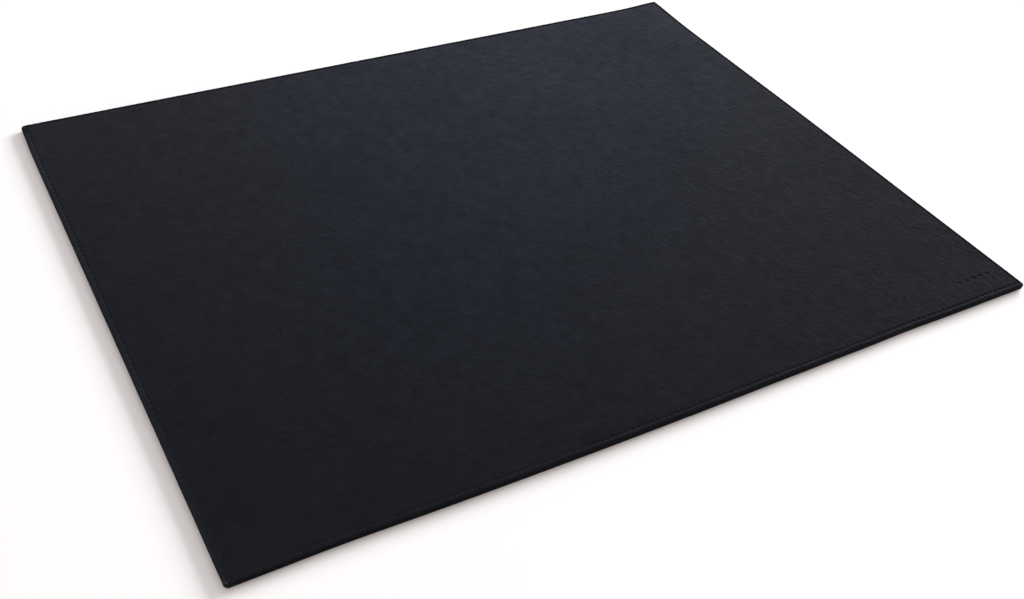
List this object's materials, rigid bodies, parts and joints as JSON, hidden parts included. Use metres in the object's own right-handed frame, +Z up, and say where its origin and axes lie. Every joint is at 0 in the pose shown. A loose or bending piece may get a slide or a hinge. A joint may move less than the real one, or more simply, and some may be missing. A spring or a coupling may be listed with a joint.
{
  "type": "desk mat",
  "caption": "Flat black leather desk mat with a rolled, stitched edge, a stiff core and a non-slip suede underside.",
  "frame": {"origin": "middle of the underside, on the desk", "axes": "+X along the long side, +Y along the short side towards the far long side, +Z up through the writing face"},
  "size_m": [0.42, 0.297, 0.0036],
  "materials": {
    "cover_leather": "smooth black full-grain leather, satin",
    "core_board": "dense grey board, matt",
    "infill_card": "plain card, matt",
    "backing_suede": "short-napped black suede cloth, matt",
    "needle_thread": "bonded black thread, slight sheen",
    "bobbin_thread": "bonded black thread, slight sheen"
  },
  "bodies": {
    "root": {"leather_cover": "cover_leather", "core_board": "core_board", "infill_card": "infill_card", "backing": "backing_suede", "needle_thread": "needle_thread", "bobbin_thread": "bobbin_thread"}
  },
  "joints": []
}
